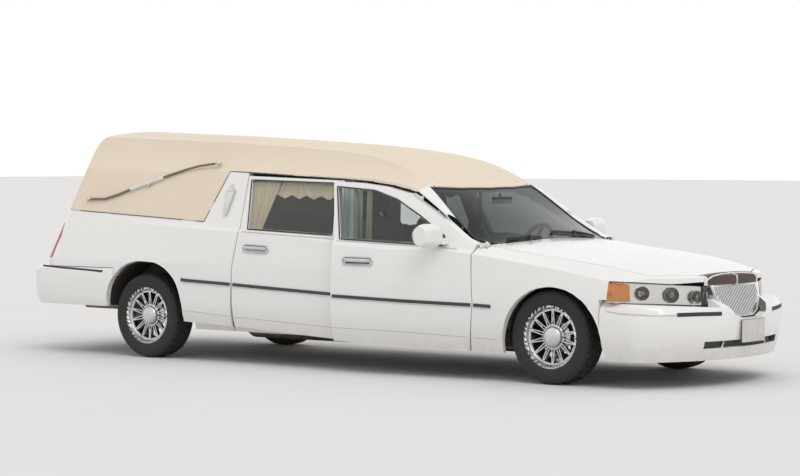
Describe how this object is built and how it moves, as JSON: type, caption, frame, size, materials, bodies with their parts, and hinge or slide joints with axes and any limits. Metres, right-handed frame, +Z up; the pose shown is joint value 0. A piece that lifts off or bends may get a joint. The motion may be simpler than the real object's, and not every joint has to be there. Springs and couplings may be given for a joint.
{
  "type": "hearse",
  "caption": "Long white sedan-based hearse with a raised tan vinyl roof, curtained side windows, landau bars and a rear loading door.",
  "frame": {"origin": "on the ground at the middle of the overall box", "axes": "+X forward, +Y to the left side, +Z up"},
  "size_m": [6.35, 2.3624, 1.792],
  "materials": {
    "paint_white": "gloss white paint with road dirt near the lower edges",
    "vinyl_tan": "padded tan vinyl covering",
    "window_glass": "lightly tinted glass",
    "curtain_cloth": "cream draped cloth",
    "lamp_red": "red lamp lens",
    "lamp_clear": "clear lamp lens",
    "bright_metal": "bright trim, the header above the grille dulled and flaked",
    "plate_blank": "blank plate",
    "black_steel": "black chassis paint",
    "deck_wood": "varnished boards",
    "roller_rubber": "black rubber rollers",
    "cabin_plastic": "dark trim",
    "black_plastic": "black moulded plastic",
    "seat_fabric": "dark cloth",
    "cast_metal": "raw castings",
    "radiator_metal": "dull finned core",
    "exhaust_steel": "dull steel",
    "tyre_rubber": "black tyre rubber",
    "rim_alloy": "silver alloy"
  },
  "bodies": {
    "body": {"bumper_front": "paint_white", "bumper_rear": "paint_white", "chassis_frame": "black_steel", "dashboard": "cabin_plastic", "deck_rollers": "roller_rubber", "engine_block": "cast_metal", "exhaust": "exhaust_steel", "fenders": "paint_white", "firewall": "paint_white", "floor_pan": "black_steel", "front_seats": "seat_fabric", "front_suspension": "cast_metal", "fuel_tank": "black_steel", "grille": "bright_metal", "headlamps": "lamp_clear", "landau_trim": "bright_metal", "load_deck": "deck_wood", "partition": "cabin_plastic", "plates": "plate_blank", "quarter_panels": "paint_white", "radiator": "radiator_metal", "rear_axle": "cast_metal", "roof": "vinyl_tan", "side_frames": "paint_white", "tail_lamps": "lamp_red", "wheel_housings": "black_plastic", "windshield": "window_glass"},
    "front_wheel_left": {"tyre_front_left": "tyre_rubber", "rim_front_left": "rim_alloy"},
    "front_wheel_right": {"tyre_front_right": "tyre_rubber", "rim_front_right": "rim_alloy"},
    "rear_wheel_left": {"tyre_rear_left": "tyre_rubber", "rim_rear_left": "rim_alloy"},
    "rear_wheel_right": {"tyre_rear_right": "tyre_rubber", "rim_rear_right": "rim_alloy"},
    "knuckle_left": {"knuckle_left": "cast_metal"},
    "knuckle_right": {"knuckle_right": "cast_metal"},
    "steering_wheel": {"steering_wheel": "black_plastic"},
    "front_door_left": {"door_front_left": "paint_white", "glass_front_left": "window_glass"},
    "front_door_right": {"door_front_right": "paint_white", "glass_front_right": "window_glass"},
    "rear_door_left": {"door_rear_left": "paint_white", "glass_rear_left": "window_glass", "curtain_left": "curtain_cloth"},
    "rear_door_right": {"door_rear_right": "paint_white", "glass_rear_right": "window_glass", "curtain_right": "curtain_cloth"},
    "hood": {"hood": "paint_white"},
    "load_door": {"rear_door": "paint_white", "rear_door_glass": "window_glass"}
  },
  "joints": [
    {"name": "spin_front_left", "type": "hinge", "parent": "knuckle_left", "child": "front_wheel_left", "pos_m": [2.075, 0.807, 0.333], "axis": [0, 1, 0], "continuous": true},
    {"name": "spin_front_right", "type": "hinge", "parent": "knuckle_right", "child": "front_wheel_right", "pos_m": [2.075, -0.807, 0.333], "axis": [0, 1, 0], "continuous": true},
    {"name": "spin_rear_left", "type": "hinge", "parent": "body", "child": "rear_wheel_left", "pos_m": [-1.785, 0.807, 0.333], "axis": [0, 1, 0], "continuous": true},
    {"name": "spin_rear_right", "type": "hinge", "parent": "body", "child": "rear_wheel_right", "pos_m": [-1.785, -0.807, 0.333], "axis": [0, 1, 0], "continuous": true},
    {"name": "steer_right", "type": "hinge", "parent": "body", "child": "knuckle_right", "pos_m": [2.075, -0.8, 0.333], "axis": [0, 0, 1], "range_deg": [-32, 32]},
    {"name": "steer_left", "type": "hinge", "parent": "body", "child": "knuckle_left", "pos_m": [2.075, 0.8, 0.333], "axis": [0, 0, 1], "range_deg": [-32, 32]},
    {"name": "turn_steering_wheel", "type": "hinge", "parent": "body", "child": "steering_wheel", "pos_m": [1.044, 0.375, 0.905], "axis": [-0.8829, 0, 0.4695], "range_deg": [-480, 480]},
    {"name": "open_front_door_left", "type": "hinge", "parent": "body", "child": "front_door_left", "pos_m": [1.464, 0.988, 0.6], "axis": [0, 0, -1], "range_deg": [0, 65]},
    {"name": "open_front_door_right", "type": "hinge", "parent": "body", "child": "front_door_right", "pos_m": [1.464, -0.988, 0.6], "axis": [0, 0, 1], "range_deg": [-5, 60]},
    {"name": "open_rear_door_left", "type": "hinge", "parent": "body", "child": "rear_door_left", "pos_m": [0.244, 0.988, 0.6], "axis": [0, 0, -1], "range_deg": [0, 65]},
    {"name": "open_rear_door_right", "type": "hinge", "parent": "body", "child": "rear_door_right", "pos_m": [0.244, -0.988, 0.6], "axis": [0, 0, 1], "range_deg": [0, 65]},
    {"name": "lift_hood", "type": "hinge", "parent": "body", "child": "hood", "pos_m": [1.522, 0, 0.953], "axis": [0, -1, 0], "range_deg": [0, 50]},
    {"name": "open_load_door", "type": "hinge", "parent": "body", "child": "load_door", "pos_m": [-2.992, 0.549, 0.75], "axis": [-0.36, 0, -0.933], "range_deg": [0, 95]}
  ],
  "couplings": [
    {"joint": "steer_left", "follows": "steer_right", "ratio": 1},
    {"joint": "turn_steering_wheel", "follows": "steer_right", "ratio": 14}
  ]
}
